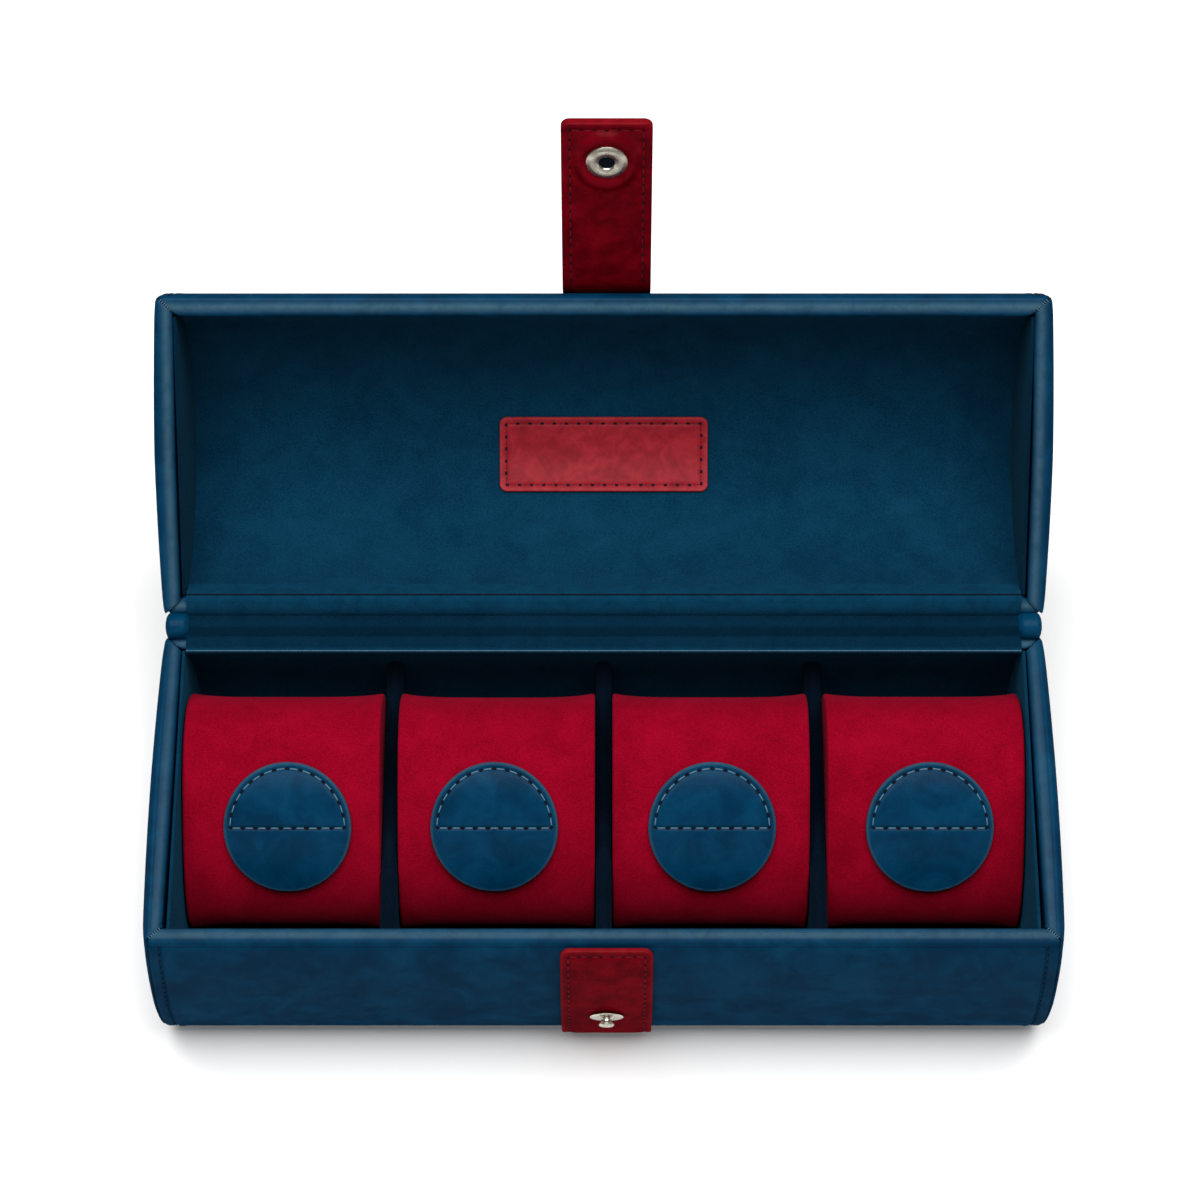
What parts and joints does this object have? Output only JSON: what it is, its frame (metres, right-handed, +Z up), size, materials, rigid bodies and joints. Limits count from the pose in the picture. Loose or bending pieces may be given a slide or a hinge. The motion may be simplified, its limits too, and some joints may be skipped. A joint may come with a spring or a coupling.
{
  "type": "watch case",
  "caption": "Rounded leather case with a hinged lid, suede-lined compartments holding removable watch cushions, and a strap that snaps to the front.",
  "frame": {"origin": "middle of the flat underside", "axes": "+X along the case to its right end, +Y to the hinge at the back, +Z up; the lid is open at rest"},
  "size_m": [0.2836, 0.2232, 0.2087],
  "materials": {
    "blue_leather": "burnished blue leather with darker and lighter clouds",
    "blue_suede": "navy suede lining",
    "base_board": "stiff fibre board, hidden",
    "lid_board": "light grey board, hidden",
    "red_suede": "crimson suede over soft wadding",
    "red_leather": "burnished dark red leather with painted edges",
    "snap_metal": "polished nickel plate"
  },
  "bodies": {
    "base": {"base_cover": "blue_leather", "base_board": "base_board", "base_lining": "blue_suede", "base_end_left": "blue_leather", "base_end_right": "blue_leather", "base_end_lining_left": "blue_suede", "base_end_lining_right": "blue_suede", "hinge_strip_base": "blue_suede", "hinge_roll": "blue_leather", "divider_1": "blue_suede", "divider_2": "blue_suede", "divider_3": "blue_suede", "front_tab": "red_leather", "snap_stud": "snap_metal"},
    "lid": {"lid_cover": "blue_leather", "lid_board": "lid_board", "lid_lining": "blue_suede", "lid_end_left": "blue_leather", "lid_end_right": "blue_leather", "lid_end_lining_left": "blue_suede", "lid_end_lining_right": "blue_suede", "hinge_strip_lid": "blue_suede", "strap_anchor": "red_leather", "label_patch": "red_leather"},
    "strap": {"strap_outer": "red_leather", "strap_lining": "red_leather", "snap_cap": "snap_metal", "snap_socket": "snap_metal"},
    "cushion_1": {"cushion_1": "red_suede", "disc_sewn_1": "blue_leather"},
    "flap_1": {"disc_loose_1": "blue_leather"},
    "cushion_2": {"cushion_2": "red_suede", "disc_sewn_2": "blue_leather"},
    "flap_2": {"disc_loose_2": "blue_leather"},
    "cushion_3": {"cushion_3": "red_suede", "disc_sewn_3": "blue_leather"},
    "flap_3": {"disc_loose_3": "blue_leather"},
    "cushion_4": {"cushion_4": "red_suede", "disc_sewn_4": "blue_leather"},
    "flap_4": {"disc_loose_4": "blue_leather"}
  },
  "joints": [
    {"name": "lid_hinge", "type": "hinge", "parent": "base", "child": "lid", "pos_m": [0, 0.0548, 0.07615], "axis": [-1, 0, 0], "range_deg": [-136.5, 0]},
    {"name": "strap_bend", "type": "hinge", "parent": "lid", "child": "strap", "pos_m": [0.0009, 0.1413, 0.13961], "axis": [-1, 0, 0], "range_deg": [-38, 30], "stiffness_Nm_per_rad": 0.02},
    {"name": "cushion_1_lift", "type": "slide", "parent": "base", "child": "cushion_1", "axis": [0, 0, 1], "range_m": [0, 0.06]},
    {"name": "flap_1_lift", "type": "hinge", "parent": "cushion_1", "child": "flap_1", "pos_m": [-0.09899, -0.00922, 0.06294], "axis": [-1, 0, 0], "range_deg": [0, 60]},
    {"name": "cushion_2_lift", "type": "slide", "parent": "base", "child": "cushion_2", "axis": [0, 0, 1], "range_m": [0, 0.06]},
    {"name": "flap_2_lift", "type": "hinge", "parent": "cushion_2", "child": "flap_2", "pos_m": [-0.03426, -0.00922, 0.06294], "axis": [-1, 0, 0], "range_deg": [0, 60]},
    {"name": "cushion_3_lift", "type": "slide", "parent": "base", "child": "cushion_3", "axis": [0, 0, 1], "range_m": [0, 0.06]},
    {"name": "flap_3_lift", "type": "hinge", "parent": "cushion_3", "child": "flap_3", "pos_m": [0.03396, -0.00922, 0.06294], "axis": [-1, 0, 0], "range_deg": [0, 60]},
    {"name": "cushion_4_lift", "type": "slide", "parent": "base", "child": "cushion_4", "axis": [0, 0, 1], "range_m": [0, 0.06]},
    {"name": "flap_4_lift", "type": "hinge", "parent": "cushion_4", "child": "flap_4", "pos_m": [0.10209, -0.00922, 0.06294], "axis": [-1, 0, 0], "range_deg": [0, 60]}
  ]
}
